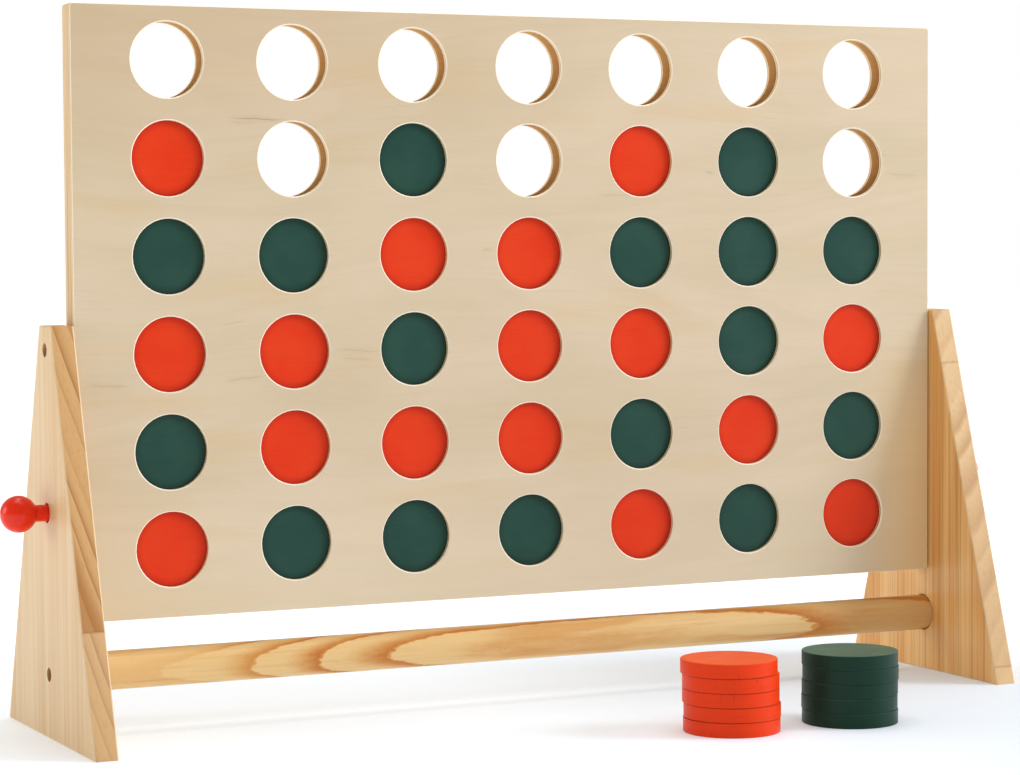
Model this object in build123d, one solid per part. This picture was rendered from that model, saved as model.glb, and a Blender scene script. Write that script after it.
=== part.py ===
"""Giant four in a row: a slotted game board that pivots between two tapered legs.

Frame: X runs along the board (right as a player sees it), Y runs from the front to the back,
Z is up. The origin is on the floor, under the middle of everything that belongs to the game.
All sizes are in millimetres.
"""

import os

from build123d import *

# --- Driving dimensions ------------------------------------------------------------------

# Playing grid
COLUMNS = 7
ROWS = 6
COLUMN_PITCH = 109.0
ROW_PITCH = 80.0
WINDOW_DIAMETER = 62.0
BOTTOM_ROW_HEIGHT = 150.0  # centre of the lowest window above the floor

# Playing discs
DISC_DIAMETER = 79.7  # 0.3 less than the row pitch, so stacked discs don't bind
DISC_THICKNESS = 12.0
DISC_EASED_EDGE = 0.5

# Board: two panels with spacer strips between them
BOARD_WIDTH = 817.0
BOARD_BOTTOM = 94.0
BOARD_TOP = 594.0
BOARD_CORNER_RADIUS = 3.0
PANEL_THICKNESS = 4.0
WINDOW_EASED_EDGE = 1.0  # sanded off each window on the outer face
OUTLINE_EASED_EDGE = 0.5  # and off the outline
SLOT_DEPTH = 13.0
CHANNEL_WIDTH = 82.0  # clear width of one column between its spacer strips
DISC_SEAT_GAP = 0.3

# Legs
LEG_THICKNESS = 20.0
LEG_HEIGHT = 335.0
LEG_TOP_DEPTH = 30.0
LEG_FOOT_DEPTH = 240.0
LEG_EDGE_RADIUS = 1.5
LEG_GAP = 1.5  # between the board's end and the leg

# Crossbar between the legs
CROSSBAR_DIAMETER = 32.0
CROSSBAR_HEIGHT = 52.5
CROSSBAR_CHAMFER = 1.0
SOCKET_DIAMETER = 33.5
SOCKET_DEPTH = 7.0

# Screws: counterbores in the legs' outer faces, heads and shanks
COUNTERBORE_DIAMETER = 11.5
COUNTERBORE_DEPTH = 6.0
HEAD_DIAMETER = 9.6
HEAD_HEIGHT = 3.4
HEAD_RIM_SHARE = 0.6  # part of the height with upright sides
HEAD_FLAT_SHARE = 0.75  # part of the radius that is flat on top
RECESS_WIDTH = 1.4
RECESS_LENGTH = 5.6
RECESS_DEPTH = 2.0
THREAD_DIAMETER = 5.0
THREAD_CLEARANCE = 0.05
THREAD_LENGTH = 30.0
PIVOT_HEIGHT = 315.5
PIVOT_SHOULDER_DIAMETER = 7.0
PIVOT_RUNNING_CLEARANCE = 0.05
PIVOT_HEAD_GAP = 0.3

# Lock pins with ball knobs, shown drawn out of the board
PIN_HEIGHT = 184.0
PIN_NECK_DIAMETER = 13.6
PIN_NECK_CLEARANCE = 0.1
PIN_TIP_DIAMETER = 8.0
PIN_TIP_LENGTH = 9.5
PIN_TIP_CHAMFER = 0.8
PIN_SOCKET_DIAMETER = 8.6
PIN_SOCKET_DEPTH = 12.0
PIN_REST_GAP = 0.5  # from the leg's inner face to the tip
PIN_MOUTH_DIAMETER = 16.4
PIN_MOUTH_DEPTH = 2.5
BALL_DIAMETER = 30.0
BALL_STANDOFF = 23.5  # from the leg's outer face to the ball's centre

# Spare discs stacked by hand on the floor in front of the board
RED_STACK_X = 80.0
RED_STACK_FORWARD = 218.5  # from the board's middle plane
GREEN_STACK_X = 189.0
GREEN_STACK_FORWARD = 225.5
# How far each disc lies off its stack's centre, along X and to the back, from the lowest up
RED_STACK_SHIFTS = [(0.0, 0.0), (0.6, 0.2), (-0.5, 0.6), (-1.0, -0.3), (-2.4, 0.3)]
GREEN_STACK_SHIFTS = [(0.0, 0.0), (-0.3, 0.4), (0.2, 0.6), (0.7, 0.3), (0.1, 0.5)]

# The game as played: one word per column, from the lowest disc up (r red, g green)
GAME = ["rgrgr", "grrg", "grgrg", "grrr", "rgrgr", "grggg", "rgrg"]
COLOUR_NAMES = {"r": "red", "g": "green"}

# --- Derived sizes -----------------------------------------------------------------------

DISC_RADIUS = DISC_DIAMETER / 2
PANEL_HEIGHT = BOARD_TOP - BOARD_BOTTOM
BOARD_MID_HEIGHT = (BOARD_TOP + BOARD_BOTTOM) / 2
BOARD_END = BOARD_WIDTH / 2
RAIL_TOP = BOTTOM_ROW_HEIGHT - DISC_RADIUS - DISC_SEAT_GAP
LEG_INNER = BOARD_END + LEG_GAP
LEG_OUTER = LEG_INNER + LEG_THICKNESS

# The origin is midway between the legs' rear toes and the front of the spare discs
FRONT_REACH = GREEN_STACK_FORWARD + DISC_RADIUS
BOARD_Y = (FRONT_REACH - LEG_FOOT_DEPTH / 2) / 2
PANEL_OFFSET = (SLOT_DEPTH + PANEL_THICKNESS) / 2


def column_x(column):
    """X of a column's centre line; column 1 is the leftmost."""
    return (column - (COLUMNS + 1) / 2) * COLUMN_PITCH


def row_z(row):
    """Height of a row of windows; row 1 is the lowest."""
    return BOTTOM_ROW_HEIGHT + (row - 1) * ROW_PITCH


def block(x0, x1, z0, z1):
    """A flat strip of the board's core, centred on the board's middle plane."""
    centre = Pos((x0 + x1) / 2, BOARD_Y, (z0 + z1) / 2)
    return centre * Box(x1 - x0, SLOT_DEPTH, z1 - z0)


def rod(radius, x0, x1, z):
    """A round bar along X in the board's middle plane."""
    centre = Pos((x0 + x1) / 2, BOARD_Y, z)
    return centre * Rot(0, 90, 0) * Cylinder(radius, x1 - x0)


def turned(profile, height):
    """Turn a half profile about the X axis; its points are (distance from X = 0, radius)."""
    face = make_face(Polyline([(x, 0, r) for x, r in profile], close=True))
    return Pos(0, BOARD_Y, height) * revolve(face, Axis.X)


def on_side(side, part):
    """A part made for the right-hand end, turned about the middle if it is for the left."""
    half_turn = Pos(0, BOARD_Y, 0) * Rot(0, 0, 180) * Pos(0, -BOARD_Y, 0)
    return part if side > 0 else half_turn * part


# --- Board -------------------------------------------------------------------------------


def panel(side):
    """One face of the board (side -1 is the front), with a window for each place."""
    outline = RectangleRounded(BOARD_WIDTH, PANEL_HEIGHT, BOARD_CORNER_RADIUS)
    sketch = Pos(0, BOARD_MID_HEIGHT) * outline
    windows = [
        Pos(column_x(column), row_z(row)) * Circle(WINDOW_DIAMETER / 2)
        for column in range(1, COLUMNS + 1)
        for row in range(1, ROWS + 1)
    ]
    sheet = extrude(Plane.XZ * (sketch - windows), PANEL_THICKNESS / 2, both=True)
    outer_face = sheet.faces().sort_by(Axis.Y, reverse=side < 0)[-1]
    window_rims = [edge for wire in outer_face.inner_wires() for edge in wire.edges()]
    sheet = chamfer(window_rims, WINDOW_EASED_EDGE)
    outer_face = sheet.faces().sort_by(Axis.Y, reverse=side < 0)[-1]
    sheet = chamfer(outer_face.outer_wire().edges(), OUTLINE_EASED_EDGE)
    return Pos(0, BOARD_Y + side * PANEL_OFFSET, 0) * sheet


def side_strip(side):
    """End strip of the core, bored for the pivot screw and for the lock pin."""
    inner = column_x(COLUMNS) + CHANNEL_WIDTH / 2
    strip = block(inner, BOARD_END, BOARD_BOTTOM, BOARD_TOP)
    outer_edges = strip.edges().filter_by(Axis.Y).group_by(Axis.X)[-1]
    strip = fillet(outer_edges, BOARD_CORNER_RADIUS)
    thread_radius = THREAD_DIAMETER / 2 + THREAD_CLEARANCE
    strip -= rod(thread_radius, BOARD_END - THREAD_LENGTH - 1, BOARD_END + 1, PIVOT_HEIGHT)
    socket_radius = PIN_SOCKET_DIAMETER / 2
    strip -= rod(socket_radius, BOARD_END - PIN_SOCKET_DEPTH, BOARD_END + 1, PIN_HEIGHT)
    return on_side(side, strip)


def column_divider(number):
    """Spacer strip between one column and the next."""
    left = column_x(number) + CHANNEL_WIDTH / 2
    right = column_x(number + 1) - CHANNEL_WIDTH / 2
    return block(left, right, RAIL_TOP, BOARD_TOP)


def bottom_rail():
    """Rail that closes the slots and carries the lowest discs."""
    half = column_x(COLUMNS) + CHANNEL_WIDTH / 2
    return block(-half, half, BOARD_BOTTOM, RAIL_TOP)


# --- Stand -------------------------------------------------------------------------------


def leg(side):
    """Tapered leg with eased edges, a crossbar socket, screw seats and the lock-pin hole."""
    foot, top = LEG_FOOT_DEPTH / 2, LEG_TOP_DEPTH / 2
    outline = Polygon(
        (BOARD_Y - foot, 0),
        (BOARD_Y + foot, 0),
        (BOARD_Y + top, LEG_HEIGHT),
        (BOARD_Y - top, LEG_HEIGHT),
        align=None,
    )
    body = extrude(Plane.YZ.offset(LEG_INNER) * outline, LEG_THICKNESS)
    faces = body.faces().sort_by(Axis.X)
    body = fillet(faces[0].edges() + faces[-1].edges(), LEG_EDGE_RADIUS)
    past = LEG_OUTER + 1
    seat = LEG_OUTER - COUNTERBORE_DEPTH
    body -= rod(SOCKET_DIAMETER / 2, LEG_INNER - 1, LEG_INNER + SOCKET_DEPTH, CROSSBAR_HEIGHT)
    body -= rod(COUNTERBORE_DIAMETER / 2, seat, past, CROSSBAR_HEIGHT)
    thread_hole = THREAD_DIAMETER / 2 + THREAD_CLEARANCE
    body -= rod(thread_hole, LEG_INNER, past, CROSSBAR_HEIGHT)
    body -= rod(COUNTERBORE_DIAMETER / 2, seat, past, PIVOT_HEIGHT)
    pivot_hole = PIVOT_SHOULDER_DIAMETER / 2 + PIVOT_RUNNING_CLEARANCE
    body -= rod(pivot_hole, LEG_INNER - 1, past, PIVOT_HEIGHT)
    body -= rod(PIN_NECK_DIAMETER / 2 + PIN_NECK_CLEARANCE, LEG_INNER - 1, past, PIN_HEIGHT)
    body -= rod(PIN_MOUTH_DIAMETER / 2, LEG_OUTER - PIN_MOUTH_DEPTH, past, PIN_HEIGHT)
    return on_side(side, body)


def crossbar():
    """Round bar that spaces the feet, drilled at each end for its screw."""
    end = LEG_INNER + SOCKET_DEPTH
    bar = rod(CROSSBAR_DIAMETER / 2, -end, end, CROSSBAR_HEIGHT)
    bar = chamfer(bar.edges().filter_by(GeomType.CIRCLE), CROSSBAR_CHAMFER)
    thread_hole = THREAD_DIAMETER / 2 + THREAD_CLEARANCE
    for side in (-1, 1):
        ends = sorted((side * (end - THREAD_LENGTH - 1), side * (end + 1)))
        bar -= rod(thread_hole, *ends, CROSSBAR_HEIGHT)
    return bar


def cross_recess(face, height):
    """Cross-shaped driver recess in a screw head."""
    centre = Pos(face - RECESS_DEPTH / 2, BOARD_Y, height)
    return centre * (
        Box(RECESS_DEPTH, RECESS_LENGTH, RECESS_WIDTH)
        + Box(RECESS_DEPTH, RECESS_WIDTH, RECESS_LENGTH)
    )


def crossbar_screw(side):
    """Wood screw through the leg into the end of the crossbar."""
    seat = LEG_OUTER - COUNTERBORE_DEPTH
    tip = LEG_INNER + SOCKET_DEPTH - THREAD_LENGTH
    head, thread = HEAD_DIAMETER / 2, THREAD_DIAMETER / 2
    profile = [
        (tip, 0),
        (tip + THREAD_DIAMETER, thread),
        (seat, thread),
        (seat, head),
        (seat + HEAD_HEIGHT * HEAD_RIM_SHARE, head),
        (seat + HEAD_HEIGHT, head * HEAD_FLAT_SHARE),
        (seat + HEAD_HEIGHT, 0),
    ]
    screw = turned(profile, CROSSBAR_HEIGHT)
    return on_side(side, screw - cross_recess(seat + HEAD_HEIGHT, CROSSBAR_HEIGHT))


def pivot_bolt(side):
    """Shoulder screw: threaded into the board, its shoulder turns in the leg."""
    seat = LEG_OUTER - COUNTERBORE_DEPTH + PIVOT_HEAD_GAP
    tip = BOARD_END - THREAD_LENGTH
    head, thread = HEAD_DIAMETER / 2, THREAD_DIAMETER / 2
    shoulder = PIVOT_SHOULDER_DIAMETER / 2
    profile = [
        (tip, 0),
        (tip + THREAD_DIAMETER, thread),
        (BOARD_END, thread),
        (BOARD_END, shoulder),
        (seat, shoulder),
        (seat, head),
        (seat + HEAD_HEIGHT * HEAD_RIM_SHARE, head),
        (seat + HEAD_HEIGHT, head * HEAD_FLAT_SHARE),
        (seat + HEAD_HEIGHT, 0),
    ]
    bolt = turned(profile, PIVOT_HEIGHT)
    return on_side(side, bolt - cross_recess(seat + HEAD_HEIGHT, PIVOT_HEIGHT))


def lock_pin(side):
    """Ball knob turned in one piece with its neck and its locking tip."""
    tip_end = LEG_INNER + PIN_REST_GAP
    tip_start = tip_end + PIN_TIP_LENGTH
    neck, tip, ball = PIN_NECK_DIAMETER / 2, PIN_TIP_DIAMETER / 2, BALL_DIAMETER / 2
    ball_x = LEG_OUTER + BALL_STANDOFF
    profile = [
        (tip_end, 0),
        (tip_end, tip - PIN_TIP_CHAMFER),
        (tip_end + PIN_TIP_CHAMFER, tip),
        (tip_start, tip),
        (tip_start, neck),
        (ball_x, neck),
        (ball_x, 0),
    ]
    pin = turned(profile, PIN_HEIGHT) + Pos(ball_x, BOARD_Y, PIN_HEIGHT) * Sphere(ball)
    return on_side(side, pin)


# --- Discs -------------------------------------------------------------------------------


def disc():
    """One playing disc lying flat, with eased rims."""
    body = Cylinder(DISC_RADIUS, DISC_THICKNESS)
    return chamfer(body.edges().filter_by(GeomType.CIRCLE), DISC_EASED_EDGE)


def board_discs():
    """Discs standing in the board, as (node name, solid)."""
    upright = Rot(90, 0, 0) * disc()
    for column, colours in enumerate(GAME, start=1):
        for row, letter in enumerate(colours, start=1):
            place = Pos(column_x(column), BOARD_Y, row_z(row))
            yield f"{COLOUR_NAMES[letter]}_disc_c{column}_r{row}", place * upright


def stacked_discs(colour, x, forward, shifts):
    """Spare discs in one stack on the floor, as (node name, solid)."""
    for level, (along, back) in enumerate(shifts):
        height = (level + 0.5) * DISC_THICKNESS
        place = Pos(x + along, BOARD_Y - forward + back, height)
        yield f"{colour}_stack_disc_{level + 1}", place * disc()


# --- Every piece of the game -------------------------------------------------------------

pieces = {
    "front_panel": panel(-1),
    "rear_panel": panel(1),
    "left_side_strip": side_strip(-1),
    "right_side_strip": side_strip(1),
    "bottom_rail": bottom_rail(),
    "left_leg": leg(-1),
    "right_leg": leg(1),
    "crossbar": crossbar(),
    "crossbar_screws": Compound([crossbar_screw(-1), crossbar_screw(1)]),
    "pivot_bolts": Compound([pivot_bolt(-1), pivot_bolt(1)]),
    "left_lock_pin": lock_pin(-1),
    "right_lock_pin": lock_pin(1),
}
for number in range(1, COLUMNS):
    pieces[f"column_divider_{number}"] = column_divider(number)
pieces.update(board_discs())
pieces.update(stacked_discs("red", RED_STACK_X, RED_STACK_FORWARD, RED_STACK_SHIFTS))
pieces.update(stacked_discs("green", GREEN_STACK_X, GREEN_STACK_FORWARD, GREEN_STACK_SHIFTS))

os.makedirs("parts", exist_ok=True)
for name, piece in pieces.items():
    export_step(piece, f"parts/{name}.step")
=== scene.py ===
"""Giant four in a row: finishes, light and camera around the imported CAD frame."""

import math

import bpy
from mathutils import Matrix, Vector


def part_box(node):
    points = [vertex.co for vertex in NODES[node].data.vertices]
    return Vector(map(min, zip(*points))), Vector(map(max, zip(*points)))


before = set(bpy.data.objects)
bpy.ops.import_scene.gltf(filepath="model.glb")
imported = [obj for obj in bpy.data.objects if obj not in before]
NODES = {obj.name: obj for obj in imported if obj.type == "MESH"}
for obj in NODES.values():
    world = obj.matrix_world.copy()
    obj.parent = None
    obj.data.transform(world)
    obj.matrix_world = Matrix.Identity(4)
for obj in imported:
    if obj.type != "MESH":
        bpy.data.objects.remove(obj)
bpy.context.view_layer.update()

rail_low, rail_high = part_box("bottom_rail")
BOARD_Y = (rail_low.y + rail_high.y) / 2  # the board's middle plane
STACK_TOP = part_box("red_stack_disc_5")[1].z


def middle_of(node):
    low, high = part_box(node)
    return (low + high) / 2


# The grid of places in the board, from three of its discs
FIRST_PLACE = middle_of("red_disc_c1_r1")
COLUMN_PITCH = middle_of("green_disc_c2_r1").x - FIRST_PLACE.x
ROW_PITCH = middle_of("green_disc_c1_r2").z - FIRST_PLACE.z


# --- Tones -------------------------------------------------------------------------------

WHITE = (1.0, 1.0, 1.0, 1.0)
BLACK = (0.0, 0.0, 0.0, 1.0)

PLY_TONES = {
    "pale": "D8C4A8",
    "cool": "D0BD9E",
    "warm": "D3B88C",
    "line": "B5946A",
    "pore": "9C7A4E",
    "crack": "8F6530",
    "inner": "E2B880",
    "inner_line": "D0A468",
    "core": "C8A365",
    "core_pale": "D8BB82",
    "face_ply": "F1DBB7",
    "face_ply_warm": "E8CCA2",
    # sanded bare wood, painted near white as a highlight besides
    "rim": "F8EDD8",
    # painted light: the paler tone low down on the sheets
    "low": "EBDABD",
    # painted shade with warm bounce light from the right leg
    "brown": "F4CA86",
}
CORE_TONES = {"pale": "DFC39C", "warm": "D2B086", "line": "B48C5E"}
BAR_TONES = {
    "pale": "E8C386",
    "warm": "DB9F4E",
    "ring": "B25200",
    "fibre": "BC8240",
    "speck": "7C4C20",
    "end": "C4843C",
    "left_end": "CC8330",
    "flame": "D08A30",
}

# How each leg is cut from its staves, and its tones. ring_normal points across the growth
# rings (x, y). first_joint is where a glue joint crosses the leg, and first_ring where a
# ring's dark edge does, in metres from the leg's middle. stave_shift is how many rings each
# stave is off its neighbour. band_rise is the power by which a broad band darkens, and
# band_end the part of a ring where it stops. The other numbers are shares of a tone.
LEFT_PINE = {
    "ring_normal": (0.73, 0.68),
    "first_joint": -0.0896,
    "first_ring": -0.0173,
    "stave_shift": 0.05,
    "pale": "E4C89F",
    "warm": "DCB888",
    "ring": "C8995F",
    "lines": 0.35,
    "streaks": 0.22,
    "edge": "D3A56E",
    "edge_ring": "B67E42",
    "edge_line": "84501F",
    "edge_heart": "AC7038",
    "edge_lines": 0.95,
    "bands": 0.85,
    "band_rise": 2.0,
    "band_end": 0.9,
    "heart": 0.65,
    "sap": 0.22,
    "corner_highlight": "F3DDB8",
}
RIGHT_PINE = {
    "ring_normal": (-0.33, 0.944),
    "first_joint": -0.1152,
    "first_ring": -0.020,
    "stave_shift": 0.37,
    "pale": "F8CB86",
    "warm": "EAAE65",
    "ring": "B07038",
    "lines": 0.22,
    "streaks": 0.5,
    "edge": "DAB684",
    "edge_ring": "B4824A",
    "edge_line": "A87442",
    "edge_heart": "C09060",
    "edge_lines": 0.15,
    "bands": 1.0,
    "band_rise": 1.3,
    "band_end": 0.72,
    "heart": 0.15,
    "sap": 0.1,
    "corner_highlight": "EFD3AA",
}
SEAM_TONE = "9A6A3A"

# Discs that stand in the board, and those that lie in the stacks
STANDING_TONES = {
    "red": {"body": "E03408", "worn": "E84E1A", "dark": "981404", "side": "D42C04"},
    "green": {"body": "1F453B", "worn": "335B4C", "dark": "071A12", "side": "183F38"},
}
# A lit copy of the standing paint: the paler tops are a painted sheen from the light above, and
# the green sides are painted darker as shade
SHEENED_LYING_TONES = {
    "red": {"body": "EA5418", "worn": "F26C2E", "dark": "9A1000", "side": "EC3C06"},
    "green": {"body": "3E6454", "worn": "4F7964", "dark": "06160F", "side": "103628"},
}
KNOB_TONES = {"bright": "EE2A02", "deep": "E02200"}
SCREW_TONES = {"dark": "4A2E18", "worn": "7A5230"}
FLOOR_TONES = {"cool": "D8E2ED", "pale": "DBE5EF"}


# --- Material building blocks ------------------------------------------------------------


class Graph:
    """A material's node tree with short names for the nodes used here."""

    def __init__(self, name, roughness, specular=0.5, coat=0.0, coat_roughness=0.1, metallic=0.0):
        self.material = bpy.data.materials.new(name)
        self.material.use_nodes = True
        self.tree = self.material.node_tree
        self.tree.nodes.clear()
        self.shader = self.tree.nodes.new("ShaderNodeBsdfPrincipled")
        output = self.tree.nodes.new("ShaderNodeOutputMaterial")
        self.tree.links.new(self.shader.outputs["BSDF"], output.inputs["Surface"])
        self.shader.inputs["Roughness"].default_value = roughness
        self.shader.inputs["Specular IOR Level"].default_value = specular
        self.shader.inputs["Coat Weight"].default_value = coat
        self.shader.inputs["Coat Roughness"].default_value = coat_roughness
        self.shader.inputs["Metallic"].default_value = metallic
        coordinates = self.tree.nodes.new("ShaderNodeTexCoord")
        self.place = coordinates.outputs["Object"]
        self.normal = coordinates.outputs["Normal"]

    def put(self, socket, value):
        """Link a socket to a value's output, or set it to a plain number, vector or colour."""
        if isinstance(value, bpy.types.NodeSocket):
            self.tree.links.new(value, socket)
        else:
            socket.default_value = value

    def math(self, operation, a, b=0.0, c=0.0):
        node = self.tree.nodes.new("ShaderNodeMath")
        node.operation = operation
        for socket, value in zip(node.inputs, (a, b, c)):
            self.put(socket, value)
        return node.outputs[0]

    def add(self, a, b):
        return self.math("ADD", a, b)

    def minus(self, a, b):
        return self.math("SUBTRACT", a, b)

    def times(self, a, b):
        return self.math("MULTIPLY", a, b)

    def over(self, a, b):
        return self.math("DIVIDE", a, b)

    def size_of(self, value):
        return self.math("ABSOLUTE", value)

    def swing(self, noise, span):
        """Turn a noise of 0..1 into an offset of up to half the span either way."""
        return self.times(self.minus(noise, 0.5), span)

    def fade(self, value, low, high, to_low=0.0, to_high=1.0):
        """Map low..high smoothly to to_low..to_high."""
        node = self.tree.nodes.new("ShaderNodeMapRange")
        node.interpolation_type = "SMOOTHSTEP"
        for name, number in zip(
            ("Value", "From Min", "From Max", "To Min", "To Max"),
            (value, low, high, to_low, to_high),
        ):
            self.put(node.inputs[name], number)
        return node.outputs["Result"]

    def hump(self, value, up, down, top=1.0):
        """Rise from 0 to the top over the span up, and fall back to 0 over the span down."""
        return self.times(self.fade(value, *up), self.fade(value, *down, top, 0.0))

    def split(self, vector):
        node = self.tree.nodes.new("ShaderNodeSeparateXYZ")
        self.put(node.inputs[0], vector)
        return node.outputs

    def join(self, x, y, z):
        node = self.tree.nodes.new("ShaderNodeCombineXYZ")
        for socket, value in zip(node.inputs, (x, y, z)):
            self.put(socket, value)
        return node.outputs[0]

    def noise(self, vector, scale=1.0, detail=2.0, roughness=0.5):
        node = self.tree.nodes.new("ShaderNodeTexNoise")
        self.put(node.inputs["Vector"], vector)
        node.inputs["Scale"].default_value = scale
        node.inputs["Detail"].default_value = detail
        node.inputs["Roughness"].default_value = roughness
        return node.outputs["Fac"]

    def grain(self, vector, per_metre, detail=2.0, roughness=0.5):
        """Noise with so many features per metre along each axis of the vector."""
        node = self.tree.nodes.new("ShaderNodeVectorMath")
        node.operation = "MULTIPLY"
        self.put(node.inputs[0], vector)
        node.inputs[1].default_value = per_metre
        return self.noise(node.outputs[0], detail=detail, roughness=roughness)

    def mix(self, share, a, b):
        node = self.tree.nodes.new("ShaderNodeMix")
        node.data_type = "RGBA"
        self.put(node.inputs[0], share)
        self.put(node.inputs[6], a)
        self.put(node.inputs[7], b)
        return node.outputs[2]

    def blend(self, share, code, other_code):
        return self.mix(share, shade(code), shade(other_code))

    def tint(self, tone, share, code):
        return self.mix(share, tone, shade(code))

    def bump(self, height, depth, strength):
        """Relief of the given depth in metres."""
        node = self.tree.nodes.new("ShaderNodeBump")
        node.inputs["Strength"].default_value = strength
        node.inputs["Distance"].default_value = depth
        self.put(node.inputs["Height"], height)
        self.tree.links.new(node.outputs["Normal"], self.shader.inputs["Normal"])

    def colour(self, value):
        self.put(self.shader.inputs["Base Color"], value)

    def roughness(self, value):
        self.put(self.shader.inputs["Roughness"], value)


def shade(code):
    """A hex display colour as linear RGBA."""
    channels = [int(code[i : i + 2], 16) / 255 for i in (0, 2, 4)]
    return [c / 12.92 if c <= 0.04045 else ((c + 0.055) / 1.055) ** 2.4 for c in channels] + [1.0]


# --- Plywood panels ----------------------------------------------------------------------

# Fine cracks in the front's veneer: (x, z, length, slope, darkness), in metres
VENEER_CRACKS = [
    (-0.249, 0.5028, 0.060, -0.02, 0.75),
    (-0.262, 0.4998, 0.034, -0.02, 0.3),
    (-0.162, 0.3096, 0.046, -0.06, 0.35),
    (-0.163, 0.3025, 0.034, -0.09, 0.3),
    (-0.263, 0.2887, 0.042, 0.12, 0.5),
    (-0.379, 0.2857, 0.046, -0.02, 0.4),
    (0.083, 0.4404, 0.044, 0.0, 0.35),
    (0.378, 0.4593, 0.040, -0.07, 0.35),
    (0.1775, 0.4604, 0.012, -0.2, 0.5),
    (-0.041, 0.3932, 0.012, 0.0, 0.4),
]
CRACK_WAVER = 0.0035  # these four are in metres
CRACK_HALF_WIDTH = 0.0005
STAIN_HALF_WIDTH = 0.004
VENEER_WANDER = 0.09
FIGURE_LINES = 16.0  # contour lines over the whole range of the figure's noise

# Where light and shade are painted on the sheets: spans of X and Z in the shared frame, in metres
PAINTED_LIGHT_Z = (0.08, 0.25)
TOP_LEFT_SHADE_X, TOP_LEFT_SHADE_Z = (-0.42, 0.3), (0.42, 0.58)
LEG_SHADE_X, LEG_SHADE_Z = (0.32, 0.4), (0.2, 0.34)

CORE_EDGE = (0.16, 0.24)  # from the panel's middle plane, as a part of its thickness
RIM_STARTS, RIM_ENDS = (0.3, 0.5), (0.85, 0.95)  # how square to the sheet the eased rims are


def crack_marks(g, x, z, cracks):
    """1 on thin wavering lines that taper to both ends, with a faint stain around them."""
    waver = g.noise(g.join(g.times(x, 130.0), 0.0, g.times(z, 40.0)))
    waver = g.swing(waver, CRACK_WAVER)
    marks = 0.0
    for centre_x, centre_z, length, slope, darkness in cracks:
        along = g.minus(x, centre_x)
        taper = g.fade(g.size_of(along), 0.15 * length, 0.5 * length, 1.0, 0.0)
        off = g.minus(g.minus(z, centre_z), g.times(along, slope))
        off = g.size_of(g.add(off, waver))
        line = g.fade(off, 0.0, CRACK_HALF_WIDTH, darkness, 0.0)
        stain = g.fade(off, 0.0, STAIN_HALF_WIDTH, 0.2 * darkness, 0.0)
        marks = g.math("MAXIMUM", marks, g.times(g.math("MAXIMUM", line, stain), taper))
    return marks


def veneer(g, veneer_place, streaks, pores, cracks):
    """The lacquered outer side of a panel, with painted light and shade on it."""
    x, _, z = g.split(g.place)
    clouds = g.grain(veneer_place, (3.0, 1.0, 9.0), detail=3.0, roughness=0.6)
    warm = g.grain(veneer_place, (5.0, 2.0, 26.0), detail=3.0)
    figure = g.grain(veneer_place, (0.9, 3.0, 7.0), detail=1.0)
    figure = g.math("FRACT", g.times(figure, FIGURE_LINES))
    figure = g.hump(figure, up=(0.35, 0.93), down=(0.93, 1.0))

    face = g.blend(g.fade(clouds, 0.35, 0.65), PLY_TONES["cool"], PLY_TONES["pale"])
    face = g.tint(face, g.fade(warm, 0.52, 0.72, 0.0, 0.5), PLY_TONES["warm"])
    face = g.tint(face, g.times(figure, 0.06), PLY_TONES["line"])
    face = g.tint(face, g.fade(streaks, 0.45, 0.75, 0.0, 0.10), PLY_TONES["line"])
    face = g.tint(face, g.fade(pores, 0.6, 0.75, 0.0, 0.12), PLY_TONES["pore"])

    # Painted light and shade: the sheet is painted paler low down, and duller at its upper left
    face = g.tint(face, g.fade(z, *PAINTED_LIGHT_Z, 0.42, 0.0), PLY_TONES["low"])
    top_left_shade = g.times(g.fade(x, *TOP_LEFT_SHADE_X, 0.33, 0.04), g.fade(z, *TOP_LEFT_SHADE_Z))
    face = g.tint(face, top_left_shade, PLY_TONES["line"])

    # Short brown flecks, only here and there
    flecks = g.grain(veneer_place, (24.0, 4.0, 700.0))
    where = g.grain(g.place, (6.0, 0, 11.0), detail=1.0)
    fleck = g.times(g.fade(flecks, 0.66, 0.74), g.fade(where, 0.58, 0.68))
    face = g.tint(face, g.times(fleck, 0.4), PLY_TONES["pore"])

    # The front sheet has its cracks, and painted shade with warm bounce light from the right leg
    # at its lower right
    if cracks:
        face = g.tint(face, crack_marks(g, x, z, cracks), PLY_TONES["crack"])
        brown = g.times(g.fade(x, *LEG_SHADE_X), g.fade(z, *LEG_SHADE_Z, 0.5, 0.0))
        face = g.tint(face, brown, PLY_TONES["brown"])
    return face


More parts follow.
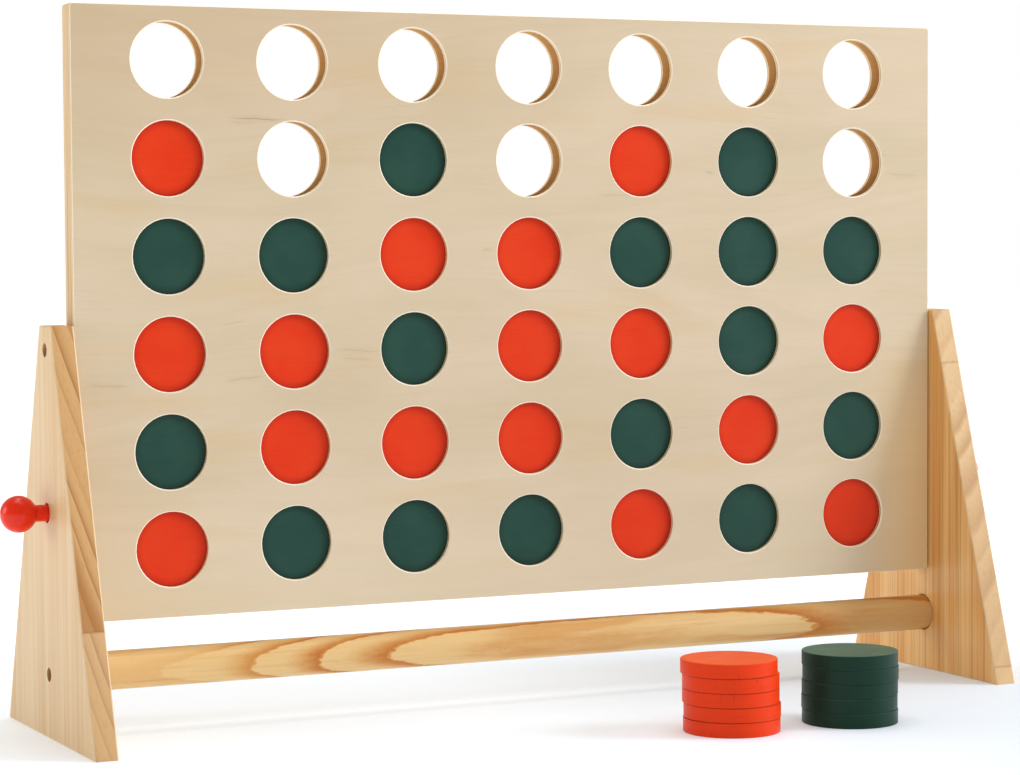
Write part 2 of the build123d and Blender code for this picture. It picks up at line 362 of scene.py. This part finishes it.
def plywood(name, node, outer_side, cracks):
    """Pale birch with its grain along X, brown inside; the cut edges show the plies."""
    low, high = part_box(node)
    g = Graph(name, roughness=0.5, specular=0.35)
    x, y, z = g.split(g.place)

    # Peeled veneer: the grain lines wander up and down along the sheet
    drift = g.grain(g.place, (2.4, 0, 4.0))
    veneer_place = g.join(x, outer_side, g.add(z, g.times(drift, VENEER_WANDER)))
    streaks = g.grain(veneer_place, (7.0, 5.0, 330.0), detail=4.0, roughness=0.6)
    pores = g.grain(veneer_place, (60.0, 6.0, 1600.0))
    face = veneer(g, veneer_place, streaks, pores, cracks)

    # Unlacquered inner side, and cut edges with a browner core between pale face plies
    inner = g.blend(streaks, PLY_TONES["inner"], PLY_TONES["inner_line"])
    facing = g.times(g.split(g.normal)[1], outer_side)
    sheet = g.mix(g.fade(facing, -0.5, 0.5), inner, face)
    depth = g.over(g.minus(y, low.y), high.y - low.y)
    core = g.fade(g.size_of(g.minus(depth, 0.5)), *CORE_EDGE, 1.0, 0.0)
    fibres = g.grain(g.place, (900.0, 350.0, 900.0))
    core_tone = g.blend(fibres, PLY_TONES["core"], PLY_TONES["core_pale"])
    face_ply = g.blend(fibres, PLY_TONES["face_ply"], PLY_TONES["face_ply_warm"])
    edge = g.mix(core, face_ply, core_tone)

    # The eased rims are sanded to bare pale wood, and their near white tone is also a painted
    # highlight
    squareness = g.size_of(facing)
    rim = g.hump(squareness, up=RIM_STARTS, down=RIM_ENDS)
    tone = g.mix(g.fade(squareness, 0.85, 0.97), edge, sheet)
    g.colour(g.tint(tone, rim, PLY_TONES["rim"]))

    g.roughness(g.fade(streaks, 0.3, 0.7, 0.46, 0.56))
    g.bump(g.minus(g.times(streaks, 0.5), g.times(pores, 0.3)), depth=0.0002, strength=0.4)
    return g.material


def core_wood():
    """Spacer strips, planed but not lacquered, with their grain along Z."""
    g = Graph("core_wood", roughness=0.62, specular=0.3)
    fibres = g.grain(g.place, (220.0, 220.0, 7.0), detail=4.0, roughness=0.6)
    broad = g.grain(g.place, (30.0, 30.0, 2.0))
    tone = g.blend(g.fade(broad, 0.35, 0.65), CORE_TONES["pale"], CORE_TONES["warm"])
    g.colour(g.tint(tone, g.fade(fibres, 0.45, 0.75, 0.0, 0.6), CORE_TONES["line"]))
    g.roughness(g.fade(fibres, 0.3, 0.7, 0.55, 0.7))
    g.bump(fibres, depth=0.0003, strength=0.5)
    return g.material


# --- Solid pine --------------------------------------------------------------------------

STAVE_WIDTH = 0.085
RING_WIDTH = 0.0088
RING_BEND = 0.010  # how far a ring strays sideways up the leg, in metres
RING_UNEVENNESS = 1.4  # in rings
RINGS_TO_HEART = 4
HEART_EDGE = (-0.006, 0.003)  # the span over which heartwood ends, in metres
SEAM_EDGE = (0.001, 0.006)  # a glue joint's half width, as a part of a stave's
CORNER_STARTS, CORNER_ENDS = (0.05, 0.3), (0.75, 0.97)  # how far the corners face along X


def late_wood(g, rings, sharpness, last=0.9):
    """From 0 in a ring's pale early wood up to 1 at its dark edge, then down from last on."""
    phase = g.math("FRACT", rings)
    rise = g.math("POWER", phase, sharpness)
    edge = g.fade(phase, last, 1.0, 1.0, 0.0)
    years = g.noise(g.join(g.math("FLOOR", rings), 0.37, 0.0), scale=1.7, detail=0.0)
    return g.times(g.times(rise, edge), g.fade(years, 0.3, 0.65, 0.25, 1.0))


def leg_pine(name, node, cut):
    """Staves glued edge to edge, grain upright; the sloping edges cut across their rings."""
    low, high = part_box(node)
    middle = (low + high) / 2
    g = Graph(name, roughness=0.45, specular=0.4)
    place_x, place_y, z = g.split(g.place)
    x = g.minus(place_x, middle.x)
    y = g.minus(place_y, middle.y)

    # Staves count up from the one that shows the first joint; each is cut from another board
    staves = g.over(g.minus(y, cut["first_joint"]), STAVE_WIDTH)
    stave = g.math("FLOOR", staves)
    normal_x, normal_y = cut["ring_normal"]
    across = g.add(g.times(x, normal_x), g.times(y, normal_y))
    bend = g.noise(g.join(g.times(stave, 7.3), g.times(x, 20.0), g.times(z, 4.0)))
    across = g.add(across, g.swing(bend, RING_BEND))
    uneven = g.noise(g.join(g.times(across, 45.0), stave, 0.0), detail=1.0)
    rings = g.over(g.minus(cut["first_ring"], across), RING_WIDTH)
    rings = g.add(rings, g.swing(uneven, RING_UNEVENNESS))
    rings = g.add(rings, g.times(stave, cut["stave_shift"]))

    fibres = g.grain(g.place, (420.0, 420.0, 7.0), detail=4.0, roughness=0.65)
    broad = g.grain(g.place, (40.0, 40.0, 1.5))
    ring_line = late_wood(g, rings, sharpness=9.0)
    ring_band = late_wood(g, rings, cut["band_rise"], cut["band_end"])

    # Flat sides: the same rings as upright streaks, strong in one place and faint in another
    streak = g.grain(g.place, (320.0, 320.0, 1.8), roughness=0.6)
    strength = g.grain(g.place, (30.0, 55.0, 5.0), detail=1.0)
    strength = g.fade(strength, 0.35, 0.65, 0.35, 1.0)
    flat_line = g.times(g.times(late_wood(g, rings, sharpness=3.5), strength), cut["lines"])
    flat = g.blend(g.fade(broad, 0.35, 0.65), cut["pale"], cut["warm"])
    flat = g.tint(flat, flat_line, cut["ring"])
    flat = g.tint(flat, g.fade(streak, 0.5, 0.66, 0.0, cut["streaks"]), cut["ring"])
    flat = g.tint(flat, g.fade(fibres, 0.45, 0.8, 0.0, 0.3), cut["ring"])

    # Sloping edges: broad bands with a dark line at the end of each, over rough end grain
    grit = g.grain(g.place, (500.0, 500.0, 90.0), detail=3.0, roughness=0.7)
    edge = g.blend(g.times(ring_band, cut["bands"]), cut["edge"], cut["edge_ring"])
    edge = g.tint(edge, g.times(ring_line, cut["edge_lines"]), cut["edge_line"])
    edge = g.tint(edge, g.fade(grit, 0.45, 0.75, 0.0, 0.3), cut["edge_ring"])

    # Brown heartwood deep in the first whole stave, and a pale sapwood stave in front of it
    deep = g.minus(across, cut["first_ring"] - RINGS_TO_HEART * RING_WIDTH)
    in_first_stave = g.math("COMPARE", stave, 0.0, 0.1)
    heart = g.times(g.fade(deep, *HEART_EDGE, 1.0, 0.0), in_first_stave)
    edge = g.tint(edge, g.times(heart, cut["heart"]), cut["edge_heart"])
    edge = g.tint(edge, g.times(g.math("LESS_THAN", stave, -0.5), cut["sap"]), cut["pale"])

    # Which faces are which: flat sides, sloping edges, and the rounded corners between them
    flatness = g.size_of(g.split(g.normal)[0])
    tone = g.mix(g.fade(flatness, 0.35, 0.9), edge, flat)
    # Painted highlight: the rounded corners are painted paler, as lit lines
    corner_highlight = g.hump(flatness, up=CORNER_STARTS, down=CORNER_ENDS)
    tone = g.tint(tone, g.times(corner_highlight, 0.55), cut["corner_highlight"])

    # A hairline where two staves meet
    place = g.math("FRACT", staves)
    seam = g.math("MINIMUM", place, g.minus(1.0, place))
    g.colour(g.tint(tone, g.fade(seam, *SEAM_EDGE, 0.35, 0.0), SEAM_TONE))
    g.roughness(g.fade(fibres, 0.3, 0.7, 0.4, 0.52))
    g.bump(g.add(fibres, g.times(ring_line, -0.6)), depth=0.0003, strength=0.5)
    return g.material


ARCH_FRONT, ARCH_DOWN = 0.985, 0.17  # the way that the arches of the bar's grain point
BAR_WANDER = 0.6  # in rings
BAR_RAGGEDNESS = 0.16  # in rings
WHOLE_RINGS = 4.0  # keeps the count of rings above 0 all over the bar

# Where the bar's figure changes: spans of X in the shared frame, in metres
CUT_DIVES, CUT_RISES = (-0.39, -0.05), (0.12, 0.5)
DIVE_RINGS, RISE_RINGS = (-0.2, 3.6), (0.0, 1.6)
ARCHES_FLATTEN = (-0.15, 0.1)
BANDS_START, AMBER_STARTS, FLAMES_START = (-0.31, -0.2), (-0.34, -0.24), (-0.06, 0.0)
LEFT_END, RIGHT_END = (-0.388, -0.366), (0.25, 0.40)


def bar_pine(node):
    """Round bar of flat-sawn pine: nested arches at its left, long lenses to its right."""
    low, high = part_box(node)
    middle = (low + high) / 2
    radius = (high.z - low.z) / 2
    g = Graph("bar_pine", roughness=0.42, specular=0.4)
    x, y, z = g.split(g.place)

    # How far a point of the surface is turned away from the line where the arches point
    toward = g.times(g.minus(middle.y, y), ARCH_FRONT / radius)
    toward = g.add(toward, g.times(g.minus(middle.z, z), ARCH_DOWN / radius))
    turned = g.minus(1.0, toward)

    # The cut dives into the log, runs level, and comes out again
    depth = g.minus(g.fade(x, *CUT_DIVES, *DIVE_RINGS), g.fade(x, *CUT_RISES, *RISE_RINGS))
    wander = g.grain(g.place, (9.0, 35.0, 35.0), detail=3.0, roughness=0.6)
    ragged = g.grain(g.place, (130.0, 420.0, 420.0))
    steepness = g.fade(x, *ARCHES_FLATTEN, 1.25, 0.7)
    rings = g.minus(depth, g.times(turned, steepness))
    rings = g.add(rings, g.swing(wander, BAR_WANDER))
    rings = g.add(rings, g.swing(ragged, BAR_RAGGEDNESS))
    rings = g.add(rings, WHOLE_RINGS)

    # Each ring glows amber and ends in a dark band, both faint near the left end
    fibres = g.grain(g.place, (10.0, 420.0, 420.0), detail=4.0, roughness=0.65)
    smoulder = g.grain(g.place, (12.0, 60.0, 60.0), detail=3.0)
    phase = g.math("FRACT", rings)
    band = g.times(g.math("POWER", phase, 4.0), g.fade(phase, 0.92, 1.0, 1.0, 0.0))
    band = g.times(band, g.fade(smoulder, 0.3, 0.6, 0.8, 1.0))
    band = g.times(band, g.fade(x, *BANDS_START, 0.1, 1.0))
    amber = g.times(g.fade(phase, 0.35, 0.95), g.fade(x, *AMBER_STARTS, 0.25, 1.0))
    tone = g.blend(amber, BAR_TONES["pale"], BAR_TONES["warm"])
    tone = g.tint(tone, band, BAR_TONES["ring"])

    # Long amber streaks on the right half, then fibres and specks all over
    flame = g.fade(g.grain(g.place, (7.0, 75.0, 75.0)), 0.5, 0.66)
    flame = g.times(flame, g.fade(x, *FLAMES_START, 0.0, 0.55))
    tone = g.tint(tone, flame, BAR_TONES["flame"])
    tone = g.tint(tone, g.fade(fibres, 0.48, 0.8, 0.0, 0.35), BAR_TONES["fibre"])
    specks = g.grain(g.place, (160.0, 900.0, 900.0), detail=1.0)
    tone = g.tint(tone, g.fade(specks, 0.74, 0.8, 0.0, 0.5), BAR_TONES["speck"])

    # Browner toward both ends
    left_end = g.fade(g.add(x, g.times(smoulder, 0.03)), *LEFT_END, 0.6, 0.0)
    tone = g.tint(tone, left_end, BAR_TONES["left_end"])
    g.colour(g.tint(tone, g.fade(x, *RIGHT_END, 0.0, 0.35), BAR_TONES["end"]))
    g.roughness(g.fade(fibres, 0.3, 0.7, 0.36, 0.5))
    g.bump(fibres, depth=0.0003, strength=0.45)
    return g.material


# --- Paint and metal ---------------------------------------------------------------------

# painted shade of the window on a standing disc grows between these distances
PAINTED_WINDOW_SHADE = (0.023, 0.0335)  # from and to these distances from a place's middle, in metres
# the stacks' crevices get painted shade, so their uppermost rims are left out
TOP_EDGE = 0.001  # the height of the stacks' uppermost rims, which aren't darkened


def from_place_centre(g):
    """Distance in the board's plane from the middle of the nearest place, in metres."""
    x, _, z = g.split(g.place)
    squares = []
    for value, first, pitch in ((x, FIRST_PLACE.x, COLUMN_PITCH), (z, FIRST_PLACE.z, ROW_PITCH)):
        steps = g.over(g.minus(value, first - pitch / 2), pitch)
        off = g.swing(g.math("FRACT", steps), pitch)
        squares.append(g.times(off, off))
    return g.math("SQRT", g.add(*squares))


def disc_paint(name, axis, tones):
    """Satin paint on a disc that stands in the board (axis 1, Y) or lies in a stack (axis 2, Z).

    A standing disc has painted shade toward its rim, where the window shades it. Both have
    painted shade on their rounded edges, a lying one only below its stack's top, between the
    discs.
    """
    g = Graph(name, roughness=0.42, specular=0.18)
    lines = g.grain(g.place, (25.0, 25.0, 1400.0), detail=3.0)
    cloud = g.noise(g.place, scale=30.0, detail=3.0)
    dents = g.noise(g.place, scale=240.0, detail=1.0)
    scratches = g.grain(g.place, (700.0, 700.0, 90.0), detail=1.0)

    facing = g.size_of(g.split(g.normal)[axis])
    side = g.fade(facing, 0.3, 0.6, 1.0, 0.0)
    # Painted shade on the discs' rounded edges: rims within a window, and crevices between
    # stacked discs
    eased = g.hump(facing, up=(0.45, 0.6), down=(0.8, 0.95), top=0.6)
    if axis == 2:
        below_top = g.math("LESS_THAN", g.split(g.place)[2], STACK_TOP - TOP_EDGE)
        eased = g.times(eased, below_top)
    tone = g.blend(g.fade(cloud, 0.35, 0.7, 0.0, 0.2), tones["body"], tones["worn"])
    tone = g.tint(tone, side, tones["side"])
    if axis == 1:
        # Painted shade: the window's rim shades a standing disc's outer ring; being in the paint,
        # it stays with a lifted disc
        painted_window_shade = g.fade(from_place_centre(g), *PAINTED_WINDOW_SHADE, 0.0, 0.55)
        tone = g.tint(tone, painted_window_shade, tones["dark"])
    scored = g.times(g.fade(scratches, 0.70, 0.76, 0.0, 0.45), side)
    tone = g.tint(tone, g.math("MAXIMUM", scored, eased), tones["dark"])
    g.colour(g.tint(tone, g.fade(lines, 0.5, 0.75, 0.0, 0.12), tones["dark"]))
    g.roughness(g.fade(cloud, 0.3, 0.7, 0.36, 0.48))
    relief = g.add(g.times(lines, 0.35), g.fade(dents, 0.62, 0.75, 0.0, 0.6))
    g.bump(g.minus(relief, scored), depth=0.00012, strength=0.5)
    return g.material


def knob_paint():
    """Glossy enamel with a little orange peel."""
    g = Graph("knob_paint", roughness=0.28, specular=0.25, coat=0.15, coat_roughness=0.08)
    peel = g.noise(g.place, scale=420.0, detail=1.0)
    cloud = g.noise(g.place, scale=60.0, detail=2.0)
    g.colour(g.blend(g.fade(cloud, 0.3, 0.7, 0.0, 0.3), KNOB_TONES["bright"], KNOB_TONES["deep"]))
    g.roughness(g.fade(cloud, 0.3, 0.7, 0.2, 0.32))
    g.bump(peel, depth=0.0001, strength=0.3)
    return g.material


def screw_metal():
    """Bronzed steel, paler and duller along its scratches."""
    g = Graph("screw_metal", roughness=0.5, specular=0.5, metallic=0.8)
    scratches = g.grain(g.place, (300.0, 2000.0, 2000.0), detail=3.0)
    g.colour(g.blend(scratches, SCREW_TONES["dark"], SCREW_TONES["worn"]))
    g.roughness(g.fade(scratches, 0.3, 0.7, 0.4, 0.65))
    g.bump(scratches, depth=0.0001, strength=0.4)
    return g.material


# Where the floor's glow changes, in metres from the object's middle and along X
GLOW_NEAR, GLOW_FAR, GLOW_LEFT = (0.4, 1.1), (1.0, 4.0), (-0.1, 0.3)


def floor_paint():
    """Pale studio floor that glows more away from the object and to its left, up to white."""
    g = Graph("floor_paint", roughness=0.6, specular=0.2)
    cloud = g.noise(g.place, scale=2.0, detail=2.0)
    tone = g.blend(cloud, FLOOR_TONES["cool"], FLOOR_TONES["pale"])
    x, y, _ = g.split(g.place)
    away = g.math("SQRT", g.add(g.times(x, x), g.times(y, y)))
    g.colour(g.mix(g.fade(away, *GLOW_FAR), tone, BLACK))
    g.shader.inputs["Emission Color"].default_value = WHITE
    near = g.add(g.fade(away, *GLOW_NEAR, 0.12, 0.5), g.fade(x, *GLOW_LEFT, 0.2, 0.0))
    glow = g.add(near, g.fade(away, *GLOW_FAR, 0.0, 0.6))
    g.put(g.shader.inputs["Emission Strength"], glow)
    return g.material


# --- Finishes on the CAD nodes -----------------------------------------------------------


def finish(node, material):
    """Give a CAD node its material in every slot."""
    mesh = NODES[node].data
    mesh.materials.clear()
    mesh.materials.append(material)


finish("front_panel", plywood("front_plywood", "front_panel", -1.0, VENEER_CRACKS))
finish("rear_panel", plywood("rear_plywood", "rear_panel", 1.0, []))
finish("left_leg", leg_pine("left_leg_pine", "left_leg", LEFT_PINE))
finish("right_leg", leg_pine("right_leg_pine", "right_leg", RIGHT_PINE))
finish("crossbar", bar_pine("crossbar"))
strip_material = core_wood()
metal = screw_metal()
knob = knob_paint()
disc_material = {}
for colour in ("red", "green"):
    disc_material[colour, False] = disc_paint(f"disc_{colour}", 1, STANDING_TONES[colour])
    # The lying discs get the lit copy of the paint, with its painted sheen
    disc_material[colour, True] = disc_paint(f"disc_{colour}_lying_sheened", 2, SHEENED_LYING_TONES[colour])
for node in NODES:
    if node.endswith("_strip") or node.startswith("column_divider") or node == "bottom_rail":
        finish(node, strip_material)
    elif node in ("pivot_bolts", "crossbar_screws"):
        finish(node, metal)
    elif node.endswith("lock_pin"):
        finish(node, knob)
    elif "_disc_" in node:
        finish(node, disc_material[node.split("_")[0], "_stack_" in node])


# --- Floor, light and camera -------------------------------------------------------------

FLOOR_HALF = 12.0
LIGHT_TARGET = (0.0, 0.05, 0.3)
LIGHT_SIZE = 2.4
KEY_TINT = (0.95, 1.0, 1.09)
NEUTRAL = (1.0, 1.0, 1.0)
LIGHTS = [  # (name, place, watts, tint)
    ("key", (4.95, -2.3, 2.6), 240.0, KEY_TINT),
    ("overhead", (0.2, 0.35, 3.2), 54.0, NEUTRAL),
    ("left", (-5.0, 2.4, 1.6), 67.0, NEUTRAL),
]
WARM_FILL = (0.45, 0.41, 0.35, 1.0)
LENS_MM = 102.8
SENSOR_MM = 36.0
SEEN_UP_TO = 100.0
CAMERA_X, CAMERA_BEFORE_BOARD, CAMERA_Z = -1.0986, 2.2777, 0.4051
CAMERA_DEGREES = (87.022, 0.344, -25.458)

mesh = bpy.data.meshes.new("floor")
corners = [(-1, -1), (1, -1), (1, 1), (-1, 1)]
mesh.from_pydata([(x * FLOOR_HALF, y * FLOOR_HALF, 0.0) for x, y in corners], [], [(0, 1, 2, 3)])
floor = bpy.data.objects.new("floor", mesh)
bpy.context.scene.collection.objects.link(floor)
floor.data.materials.append(floor_paint())


def softbox(name, place, power, tint):
    """A square area light aimed at the object."""
    light = bpy.data.lights.new(name, "AREA")
    light.shape = "SQUARE"
    light.size = LIGHT_SIZE
    light.energy = power
    light.color = tint
    lamp = bpy.data.objects.new(name, light)
    lamp.location = place
    aim = Vector(LIGHT_TARGET) - Vector(place)
    lamp.rotation_euler = aim.to_track_quat("-Z", "Y").to_euler()
    bpy.context.scene.collection.objects.link(lamp)


for light_row in LIGHTS:
    softbox(*light_row)

# A warm dim fill for the object, and plain white behind it
world = bpy.data.worlds.new("studio")
world.use_nodes = True
tree = world.node_tree
path = tree.nodes.new("ShaderNodeLightPath")
sky = tree.nodes.new("ShaderNodeMix")
sky.data_type = "RGBA"
sky.inputs[6].default_value = WARM_FILL
sky.inputs[7].default_value = WHITE
tree.links.new(path.outputs["Is Camera Ray"], sky.inputs[0])
tree.links.new(sky.outputs[2], tree.nodes["Background"].inputs["Color"])
scene = bpy.context.scene
scene.world = world
scene.view_settings.view_transform = "Standard"

camera_data = bpy.data.cameras.new("camera")
camera_data.lens = LENS_MM
camera_data.sensor_width = SENSOR_MM
camera_data.clip_end = SEEN_UP_TO
camera = bpy.data.objects.new("camera", camera_data)
camera.location = (CAMERA_X, BOARD_Y - CAMERA_BEFORE_BOARD, CAMERA_Z)
camera.rotation_euler = [math.radians(a) for a in CAMERA_DEGREES]
scene.collection.objects.link(camera)
scene.camera = camera
